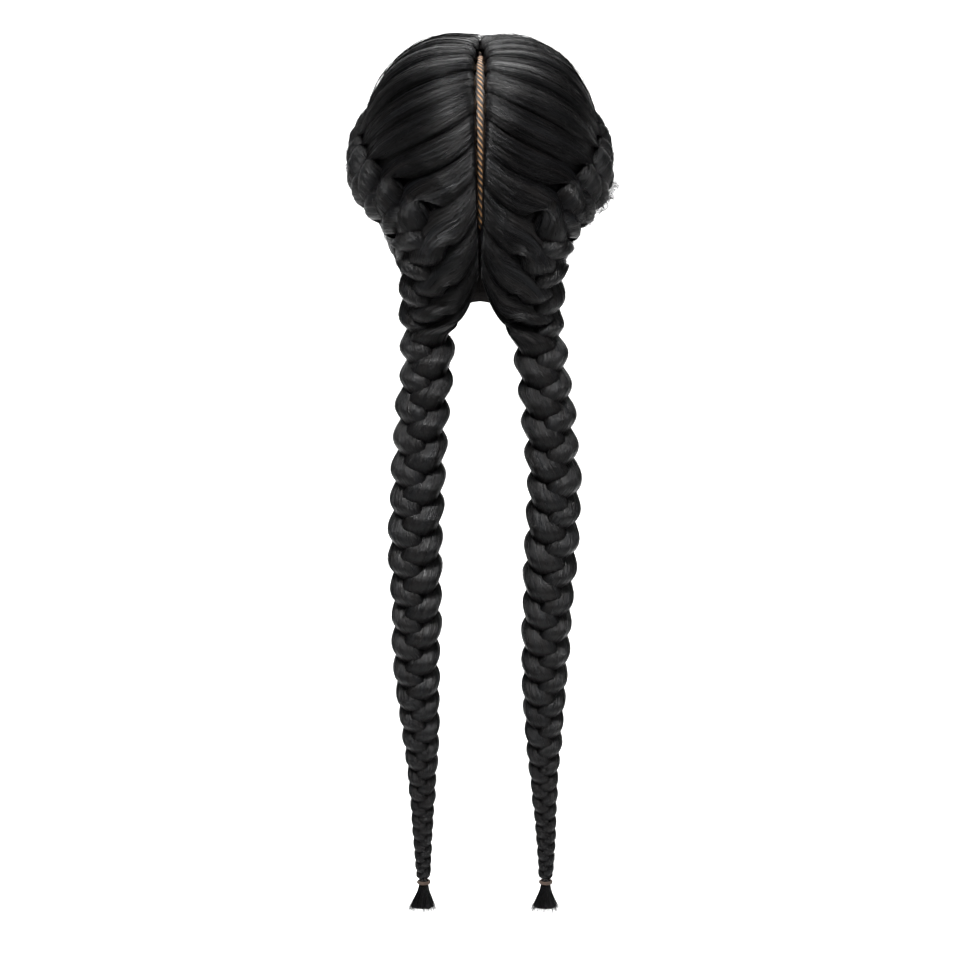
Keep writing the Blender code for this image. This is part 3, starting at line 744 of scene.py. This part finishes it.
def hairs(name, points, radii, offsets, light=None):
    """Many hairs as one mesh: points (hairs, steps, 3), a three-sided tube each, closed to a
    point at both ends."""
    count, steps = points.shape[:2]
    run = unit(np.gradient(points, axis=1))
    side = unit(np.cross(run, np.array([0.31, 0.17, 0.93])))
    up = np.cross(run, side)
    rings = []
    for k in range(3):
        angle = 2 * np.pi * k / 3
        rings.append(points + (side * np.cos(angle) + up * np.sin(angle)) * radii[..., None])
    rings = np.stack(rings, 2)[:, 1:-1]
    inner = steps - 2
    body = rings.reshape(count, inner * 3, 3)
    verts = np.concatenate([points[:, :1], body, points[:, -1:]], axis=1)
    per = inner * 3 + 2
    ring = 1 + np.arange(inner)[:, None] * 3 + np.arange(3)
    following = np.roll(ring, -1, axis=1)
    quads = np.stack([ring[:-1], following[:-1], following[1:], ring[1:]], -1).reshape(-1, 4)
    root = np.stack([np.zeros(3, int), following[0], ring[0]], -1)
    tip = np.stack([np.full(3, per - 1), ring[-1], following[-1]], -1)
    base = (np.arange(count) * per)[:, None, None]
    quads = (quads[None] + base).reshape(-1, 4)
    threes = (np.concatenate([root, tip])[None] + base).reshape(-1, 3)
    mesh = bpy.data.meshes.new(name)
    mesh.vertices.add(count * per)
    mesh.vertices.foreach_set("co", verts.ravel())
    loops = np.concatenate([quads.ravel(), threes.ravel()])
    mesh.loops.add(len(loops))
    mesh.loops.foreach_set("vertex_index", loops)
    starts = np.concatenate([
        np.arange(len(quads)) * 4, len(quads) * 4 + np.arange(len(threes)) * 3])
    mesh.polygons.add(len(starts))
    mesh.polygons.foreach_set("loop_start", starts)
    mesh.update(calc_edges=True)
    mesh.validate()
    along = np.linspace(0, 0.1, steps)
    vert_along = np.concatenate([along[:1], np.repeat(along[1:-1], 3), along[-1:]])
    streak = np.stack(np.broadcast_arrays(offsets[:, None], vert_along[None]), -1)
    layer = mesh.uv_layers.new(name="fibres")
    layer.data.foreach_set("uv", streak.reshape(-1, 2)[loops].ravel())
    # painted light share at each point: full colour unless given, painted shade where it is low
    light = np.ones((count, steps)) if light is None else light
    body_light = np.repeat(light[:, 1:-1], 3, axis=1)
    set_painted_light(mesh, np.concatenate([light[:, :1], body_light, light[:, -1:]], axis=1))
    return finished(name, mesh, hair_material(), "hair")


def tapering(t, thinnest):
    """A hair's thickness along it: thinner towards both ends."""
    return thinnest + (1 - thinnest) * np.sin(np.pi * np.clip(t, 0.02, 0.98)) ** 0.5


def lifted(rng, one, t, rarity):
    """How far hairs stand off the skin: most lie close to it, and a few rise in a low loop."""
    low = rng.uniform(0.0, HAIR_LIFT, one)
    return low + rng.uniform(0, 1, one) ** rarity * STRAY_LIFT * np.sin(np.pi * t)


def closing(along, rows, ends=1.5):
    """1 along a form of so many rows, and 0 at both ends, so that it closes round."""
    row = along * rows
    return np.sqrt(np.clip(np.minimum(row, rows - row) / ends, 0.0, 1.0))


def build_locks(side, swept):
    row = LOCKS[side, swept]
    columns, rows = (56, 46) if swept else (40, 36)
    pieces = []
    for number in range(row.count):
        def shape(across, along, number=number):
            around = 2 * np.pi * across
            share = along * LOCK_END
            points, around_m, along_m = row.skin(number, around, share)
            top = row.skin(number, np.full(across.shape, np.pi / 2), share)[0]
            bottom = row.skin(number, np.full(across.shape, 1.5 * np.pi), share)[0]
            centre = (top + bottom) / 2
            round_end = closing(along, rows)[:, None]
            # painted light: where a lock turns down into the braid, its nape side faces out and
            # is painted lighter
            turned = smooth_step(0.72, 0.90, share) * (1 - smooth_step(1.30, 1.50, share))
            turned = turned * smooth_step(-0.1, 0.3, -np.cos(around))
            # painted light: past the middle of a lock the painted shade is lifted to at least
            # 0.30, so the spaces between the locks' ends are painted less dark
            nearly = 0.30 * smooth_step(0.45, 0.70, share)
            light = np.maximum(painted_light_share(np.sin(around)), np.maximum(0.6 * turned, nearly))
            return centre + (points - centre) * round_end, around_m, along_m, light
        pieces.append(hair_form(f"{row.kind}_hair_{side}_{number}", columns, rows, shape))
    pieces.append(build_bed(side, swept))
    nodes = [f"{row.kind}_lock_{side}_{k + 1}" for k in range(len(row.table) - 1)]
    joined(f"{row.kind}_locks_{side}", pieces, nodes)


def build_bed(side, swept):
    """The hair beneath the locks where they turn down into the braid, so that the spaces
    between their ends show hair and not a hollow."""
    row = LOCKS[side, swept]
    rows = 9 * row.count
    first, last = 0.66, 1.20 if swept else HEAD_REACH

    def shape(across, along):
        around = 2 * np.pi * across
        place = row.edges[0] + (row.edges[-1] - row.edges[0]) * (0.01 + 0.98 * along)
        share = (first + last) / 2 + (last - first) / 2 * np.cos(around)
        place_m, share_m = place * 0.03, share * FIBRE_LONG
        ray, over = row.ray(place, share)
        arch = np.where(np.sin(around) > 0, np.abs(np.sin(around)) ** 0.35, 0.0)
        waves = grooves(place_m, share_m, 70) * look().clump_depth
        # by the nape the locks lie closer, and the layer stays low so that their creases show
        fall = (BED_HEIGHT - BED_HEIGHT_NAPE) * smooth_step(0.58, 0.72, along)
        high = ((BED_HEIGHT - fall) * row.crest(share) + waves) * arch * closing(along, rows, 4)
        points = skull(ray, CAP_WALL + BED_FLOOR + over + high)[0]
        # painted shade: the layer beneath the locks is painted at a fixed, lower light share
        return points, place_m, share_m, np.full(share.shape, BED_PAINTED_LIGHT)
    return hair_form(f"bed_{side}_{swept}", 28, rows, shape)


def build_braid(side):
    braid = BRAIDS[side]
    total = braid.turns[-1]
    rows, columns = int(total * 24), 44
    pieces = []
    for number in range(3):
        def shape(across, along, number=number):
            around, turn = 2 * np.pi * across, along * total
            length = np.interp(turn, braid.turns, braid.lengths)
            around_m = 0.012 * around + 0.1 * number
            width = braid.frames(braid.turns, turn)[3]
            clump = look().clump_depth * grooves(around_m, length, 40 + number)
            lift = clump * width / BRAID_WIDTH
            points = braid.strand(number, turn, around, lift)
            centre = braid.strand(number, turn, around, swell=0.0)
            round_end = closing(along, rows, 3)[:, None]
            # painted shade down the strand's sides where its neighbours lie
            light = painted_strand_light(number, turn, around)
            return centre + (points - centre) * round_end, around_m, length, light
        pieces.append(hair_form(f"strand_{side}_{number}", columns, rows, shape))
    joined(f"braid_{side}", pieces, [f"crown_braid_{side}", f"hanging_braid_{side}"])


def build_parting():
    low, rows = LOCK_EDGES[0, 0], 120

    def shape(across, along):
        angle = low + (LACE_END - low) * along
        around = 2 * np.pi * across
        floor, normal = skull(ray_at(0.0, angle), np.full(angle.shape, CAP_WALL))
        wide = (part_half_width(angle) + 0.0006) * np.cos(around)
        high = np.where(np.sin(around) > 0, PART_RISE * 1.3 * np.sin(around), 0.0) + 0.0003
        round_end = closing(along, rows, 2)
        points = floor + normal * (high * round_end)[:, None]
        points[:, 0] += wide * round_end
        return points, wide, np.radians(angle) * UPPER_AXES[2]
    wrapped("parting", 20, rows, shape, lace_material(), "parting_lace", ["parting_lace"])


def build_cap():
    def shape(across, along):
        azimuth = 360 * (across - 0.5)
        edge = smooth_through(HAIRLINE[:, 0], HAIRLINE[:, 1], np.abs(azimuth))
        points = skull(ray_at(azimuth, edge * along))[0]
        return points, np.radians(azimuth) * 0.08, np.radians(edge * along) * 0.1
    cap = wrapped("cap_net", 96, 26, shape, net_material(), "cap_net", ["cap"])
    wall = cap.modifiers.new("wall", "SOLIDIFY")
    wall.thickness = CAP_WALL * 0.8
    wall.offset = 1.0


def braid_end(side):
    """The middle of the hanging braid's end, where the tie and the tassel sit."""
    return BRAIDS[side].places[-1] + np.array([0, 0, -FACE_GAP])


def build_tie(side):
    top = braid_end(side)
    wire, rows = ELASTIC_RADIUS, 160

    def shape(across, along):
        turn = 2 * np.pi * ELASTIC_WRAPS * along
        sink = 0.0003 * np.sin(turn * 0.7)
        around = 2 * np.pi * across
        way = np.stack([np.cos(turn), np.sin(turn) * 0.94, np.zeros_like(turn)], -1)
        down = np.array([0.0, 0.0, 1.0])
        drop = -CLEARANCE - wire - (TIE_WIRE - 2 * wire) * along * 1.25 + sink
        centre = top + way * (NECK_RADIUS + wire * 0.6) + down * drop[:, None]
        thick = wire * closing(along, rows, 3)[:, None]
        skin = way * np.cos(around)[:, None] + down * np.sin(around)[:, None]
        return centre + skin * thick, around * wire, turn * NECK_RADIUS
    wrapped(f"tie_{side}", 10, rows, shape, elastic_material(), "elastic",
            [f"elastic_tie_{side}"])


def tassel_point(top, around, along, out, sway):
    """A point of the tassel: out is its share of the way from the middle to the outside, and
    sway is how far the tip hangs to one side."""
    flare = NECK_RADIUS * 0.86 + (TASSEL_WIDTH / 2 - NECK_RADIUS) * smooth_step(0.1, 1.1, along)
    pinch = 1 - 0.12 * np.exp(-((along - 0.08) / 0.05) ** 2)
    wide = flare * pinch * out * (1 + 0.22 * along**2)
    flat = 1 - (1 - TASSEL_FLATNESS) * smooth_step(0.1, 0.6, along)
    x = wide * np.cos(around) + sway * along**2
    y = wide * np.sin(around) * flat
    return top + np.stack([x, y, -TASSEL_LENGTH * 1.06 * along], -1)


def build_tassel(side):
    top, sway, rows = braid_end(side), 0.002 if side == "left" else 0.001, 24

    def shape(across, along):
        around = 2 * np.pi * across
        around_m, along_m = around * 0.006, along * TASSEL_LENGTH
        clump = grooves(around_m, along_m, 90, 0.0025)
        out = (0.9 + 0.07 * clump) * closing(along, rows, 2)
        return tassel_point(top, around, along * 0.86, out, sway), around_m, along_m
    core = hair_form(f"tassel_core_{side}", 48, rows, shape)
    rng = np.random.default_rng(60 if side == "left" else 61)
    one, t = (TASSEL_HAIRS, 1), np.linspace(0, 1, 8)
    around = rng.uniform(0, 2 * np.pi, one) + rng.normal(0, 0.15, one) * t
    out = np.sqrt(rng.uniform(0.5, 1.06, one))
    along = rng.uniform(0.01, 0.06, one) + rng.uniform(0.82, 1.0, one) * t
    out = out + rng.normal(0, 0.07, one) * t**2
    points = tassel_point(top, around, along, out, sway)
    radii = rng.uniform(*BRAID_HAIR_RADII, one) * np.linspace(1, 0.35, len(t))
    brush = hairs(f"tassel_hairs_{side}", points, radii, rng.uniform(0, 3, TASSEL_HAIRS))
    joined(f"tassel_hair_{side}", [core, brush], [f"tassel_{side}"])


def build_lock_hairs(side, swept):
    row = LOCKS[side, swept]
    rng = np.random.default_rng(20 + (side == "left") + 2 * swept)
    each = look().hairs_per_lock // (1 if swept else 2)
    count = each * row.count
    one, t = (count, 1), np.linspace(0, 1, 14 if swept else 10)
    number = np.repeat(np.arange(row.count), each)[:, None]
    start = rng.choice([0.0, 1.0], one, p=[0.45, 0.55]) * rng.uniform(0, 0.7, one)
    end = np.minimum(start + rng.uniform(0.4, 1.2, one), 1.42)
    share = start + (end - start) * t
    around = rng.uniform(0.12, np.pi - 0.10, one) + rng.normal(0, 0.10, one) * (t - 0.3)
    around = around + 0.03 * np.sin(rng.uniform(0, 6, one) + share * 9)
    points = row.skin(number, around, share, lifted(rng, one, t, 6))[0]
    radii = rng.uniform(*LOCK_HAIR_RADII, one) * tapering(t, 0.25)
    # painted shade on the hairs that lie down by the lock's sides
    hairs(f"{row.kind}_hairs_{side}", points, radii, rng.uniform(0, 3, count),
          painted_light_share(np.sin(around)))


def build_braid_hairs(side):
    braid = BRAIDS[side]
    rng = np.random.default_rng(30 + (side == "left"))
    total = braid.turns[-1]
    count = int(3 * total * look().hairs_per_lobe)
    one, t = (count, 1), np.linspace(0, 1, 11)
    number = rng.integers(0, 3, one)
    turn = rng.uniform(0.05, total - 0.6, one) + rng.uniform(0.25, 0.55, one) * t
    around = rng.uniform(0, 2 * np.pi, one) + rng.normal(0, 0.14, one) * t
    points = braid.strand(number, turn, around, lifted(rng, one, t, 5))
    slim = braid.frames(braid.turns, turn)[3] / BRAID_WIDTH
    radii = rng.uniform(*BRAID_HAIR_RADII, one) * tapering(t, 0.25) * np.sqrt(slim)
    # painted shade on the hairs that lie down by the strand's sides
    hairs(f"braid_hairs_{side}", points, radii, rng.uniform(0, 3, count),
          painted_strand_light(number, turn, around))


def build_flyaways(side):
    """Loose hairs: loops that stand off the braid on the head, and fine ends."""
    braid = BRAIDS[side]
    rng = np.random.default_rng(50 + (side == "left"))
    messy = side == "right"
    bunches = look().loose_loops * (3 if messy else 1)
    highest = 0.012 if messy else 0.009
    t = np.linspace(0, 1, 16)
    sets = []
    for _ in range(bunches):
        one = (rng.integers(16, 40), 1)
        middle = rng.uniform(0.9, 3.4)
        strand = rng.integers(0, 3)
        face = rng.uniform(0.1, 1.2)
        high = rng.uniform(0.003, highest)
        span = rng.uniform(0.18, 0.36)
        cross = braid.frames(braid.turns, np.array([middle]))[2]
        lean = braid.outward(cross)[0, 0]
        begin = middle + rng.normal(0, 0.03, one)
        turn = begin + (span + rng.normal(0, 0.03, one)) * t
        around = face + rng.normal(0, 0.16, one) + 0.4 * (t - 0.5)
        lift = high * rng.uniform(0.4, 1.1, one) * np.sin(np.pi * t) ** 0.8
        sets.append(braid.strand(strand, turn, around, lift, mirrored=lean))
    one = (look().flyaways, 1)
    turn = rng.uniform(0.2, braid.turns[-1] - 0.8, one) + rng.uniform(0.10, 0.45, one) * t
    around = rng.uniform(0, 2 * np.pi, one) + rng.normal(0, 0.5, one) * t
    reach = rng.uniform(0.001, 0.009, one)
    is_loop = rng.uniform(0, 1, one) < 0.5
    lift = reach * np.where(is_loop, np.sin(np.pi * t), t**2)
    sets.append(braid.strand(rng.integers(0, 3, one), turn, around, lift))
    points = np.concatenate(sets)
    count = len(points)
    radii = rng.uniform(*LOOSE_HAIR_RADII, (count, 1)) * tapering(t, 0.3)
    hairs(f"loose_hairs_{side}", points, radii, rng.uniform(0, 3, count))


class BraidWigSettings(bpy.types.PropertyGroup):
    """Sizes and colours that a user would change."""

    hair_dark: FloatVectorProperty(
        name="Hair dark", description="Colour of the hair between its streaks",
        subtype="COLOR", default=colour_of("020202"), min=0, max=1)
    hair_light: FloatVectorProperty(
        name="Hair light", description="Colour of the hair's lightest streaks",
        subtype="COLOR", default=colour_of("0D0D0E"), min=0, max=1)
    hair_warm: FloatVectorProperty(
        name="Hair warm", description="Cast of the warmer clumps",
        subtype="COLOR", default=colour_of("0C0807"), min=0, max=1)
    hair_cool: FloatVectorProperty(
        name="Hair cool", description="Cast of the cooler clumps",
        subtype="COLOR", default=colour_of("06080C"), min=0, max=1)
    clump_depth: FloatProperty(
        name="Clump depth", description="How far clumps of hair stand out of a lock",
        unit="LENGTH", default=0.00045, min=0, max=0.003)
    hairs_per_lock: IntProperty(
        name="Hairs per lock", description="Single hairs modelled on each swept lock",
        default=100, min=1, max=200)
    hairs_per_lobe: IntProperty(
        name="Hairs per turn", description="Single hairs modelled on each turn of a strand",
        default=34, min=1, max=80)
    loose_loops: IntProperty(
        name="Loose loops", description="Bunches of hair that stand off the braid on the head",
        default=8, min=0, max=30)
    flyaways: IntProperty(
        name="Flyaways", description="Loose single hairs on each braid",
        default=220, min=0, max=1000)
    floor_drop: FloatProperty(
        name="Floor drop", description="How far the floor lies below the crown",
        unit="LENGTH", default=1.0, min=0.8, max=3)


class BRAIDWIG_OT_cap(bpy.types.Operator):
    """Make the net cap"""

    bl_idname = "braidwig.cap"
    bl_label = "Cap"

    def execute(self, context):
        build_cap()
        return {"FINISHED"}


class BRAIDWIG_OT_parting(bpy.types.Operator):
    """Make the lace strip along the parting"""

    bl_idname = "braidwig.parting"
    bl_label = "Parting"

    def execute(self, context):
        build_parting()
        return {"FINISHED"}


class BRAIDWIG_OT_locks(bpy.types.Operator):
    """Make the swept locks and the side locks, with their single hairs"""

    bl_idname = "braidwig.locks"
    bl_label = "Locks"

    def execute(self, context):
        for side in SIDES:
            for swept in (True, False):
                build_locks(side, swept)
                build_lock_hairs(side, swept)
        return {"FINISHED"}


class BRAIDWIG_OT_braids(bpy.types.Operator):
    """Make the strands of both braids, with their single hairs"""

    bl_idname = "braidwig.braids"
    bl_label = "Braids"

    def execute(self, context):
        for side in SIDES:
            build_braid(side)
            build_braid_hairs(side)
        return {"FINISHED"}


class BRAIDWIG_OT_ties(bpy.types.Operator):
    """Make the elastic wound round each braid's end"""

    bl_idname = "braidwig.ties"
    bl_label = "Ties"

    def execute(self, context):
        for side in SIDES:
            build_tie(side)
        return {"FINISHED"}


class BRAIDWIG_OT_tassels(bpy.types.Operator):
    """Make the loose ends below the ties"""

    bl_idname = "braidwig.tassels"
    bl_label = "Tassels"

    def execute(self, context):
        for side in SIDES:
            build_tassel(side)
        return {"FINISHED"}


class BRAIDWIG_OT_flyaways(bpy.types.Operator):
    """Make the loose loops and the flyaway hairs"""

    bl_idname = "braidwig.flyaways"
    bl_label = "Flyaways"

    def execute(self, context):
        for side in SIDES:
            build_flyaways(side)
        return {"FINISHED"}


class BRAIDWIG_OT_stage(bpy.types.Operator):
    """Make the floor, the lights and the camera"""

    bl_idname = "braidwig.stage"
    bl_label = "Stage"

    def execute(self, context):
        scene = context.scene
        build_floor(-look().floor_drop)
        scene.world = scene.world or bpy.data.worlds.new("studio")
        scene.world.use_nodes = True
        sky = scene.world.node_tree.nodes["Background"]
        sky.inputs["Color"].default_value = (1.0, 1.0, 1.0, 1.0)
        sky.inputs["Strength"].default_value = SKY_STRENGTH
        for name, settings in LIGHTS.items():
            add_light(name, *settings)
        lens = bpy.data.cameras.new("camera")
        lens.lens = CAMERA_LENS
        camera = new_object("camera", lens)
        camera.location = (0.0, CAMERA_BACK, CAMERA_HEIGHT)
        camera.rotation_euler = (math.radians(90 - CAMERA_TILT), 0, math.radians(180))
        scene.camera = camera
        scene.view_settings.view_transform = "Standard"
        return {"FINISHED"}


def build_floor(low):
    """A floor that bends up into a wall beyond the wig."""
    bend = [(FLOOR_FAR - BEND_RADIUS * math.sin(a), low + BEND_RADIUS - BEND_RADIUS * math.cos(a))
            for a in np.linspace(0, math.pi / 2, 16)]
    line = [(FLOOR_NEAR, low), *bend, (bend[-1][0], low + WALL_HEIGHT)]
    made = bmesh.new()
    verts = [made.verts.new((-FLOOR_HALF_WIDTH, y, z)) for y, z in line]
    edges = [made.edges.new(pair) for pair in zip(verts, verts[1:])]
    wide = bmesh.ops.extrude_edge_only(made, edges=edges)["geom"]
    moved = [item for item in wide if isinstance(item, bmesh.types.BMVert)]
    bmesh.ops.translate(made, verts=moved, vec=(2 * FLOOR_HALF_WIDTH, 0.0, 0.0))
    bmesh.ops.recalc_face_normals(made, faces=made.faces)
    mesh = bpy.data.meshes.new("floor")
    made.to_mesh(mesh)
    made.free()
    mesh.shade_smooth()
    paint, tree, shader = new_material("matt floor paint")
    feed(tree, shader, {
        "Base Color": (*colour_of("F4F4F4"), 1.0), "Roughness": 0.9, "Specular IOR Level": 0.1})
    mesh.materials.append(paint)
    new_object("floor", mesh)


def add_light(name, place, target, size, power, spread):
    lamp = bpy.data.lights.new(name, "AREA")
    lamp.size = size
    lamp.energy = power
    lamp.spread = math.radians(spread)
    light = new_object(name, lamp)
    light.location = place
    light.rotation_mode = "QUATERNION"
    aim = Vector(target) - Vector(place)
    light.rotation_quaternion = aim.to_track_quat("-Z", "Y")


OPERATORS = (
    BRAIDWIG_OT_cap,
    BRAIDWIG_OT_parting,
    BRAIDWIG_OT_locks,
    BRAIDWIG_OT_braids,
    BRAIDWIG_OT_ties,
    BRAIDWIG_OT_tassels,
    BRAIDWIG_OT_flyaways,
    BRAIDWIG_OT_stage,
)


class BRAIDWIG_PT_panel(bpy.types.Panel):
    """Settings and steps of the braid wig"""

    bl_idname = "BRAIDWIG_PT_panel"
    bl_label = "Braid wig"
    bl_space_type = "VIEW_3D"
    bl_region_type = "UI"
    bl_category = "Braid wig"

    def draw(self, context):
        for name in BraidWigSettings.__annotations__:
            self.layout.prop(look(), name)
        for operator in OPERATORS:
            self.layout.operator(operator.bl_idname)


CLASSES = (BraidWigSettings, *OPERATORS, BRAIDWIG_PT_panel)


def register():
    for item in CLASSES:
        bpy.utils.register_class(item)
    bpy.types.Scene.braid_wig = PointerProperty(type=BraidWigSettings)


def unregister():
    del bpy.types.Scene.braid_wig
    for item in reversed(CLASSES):
        bpy.utils.unregister_class(item)


def main():
    register()
    bpy.ops.braidwig.cap()
    bpy.ops.braidwig.parting()
    bpy.ops.braidwig.locks()
    bpy.ops.braidwig.braids()
    bpy.ops.braidwig.ties()
    bpy.ops.braidwig.tassels()
    bpy.ops.braidwig.flyaways()
    bpy.ops.braidwig.stage()


if __name__ == "__main__":
    main()
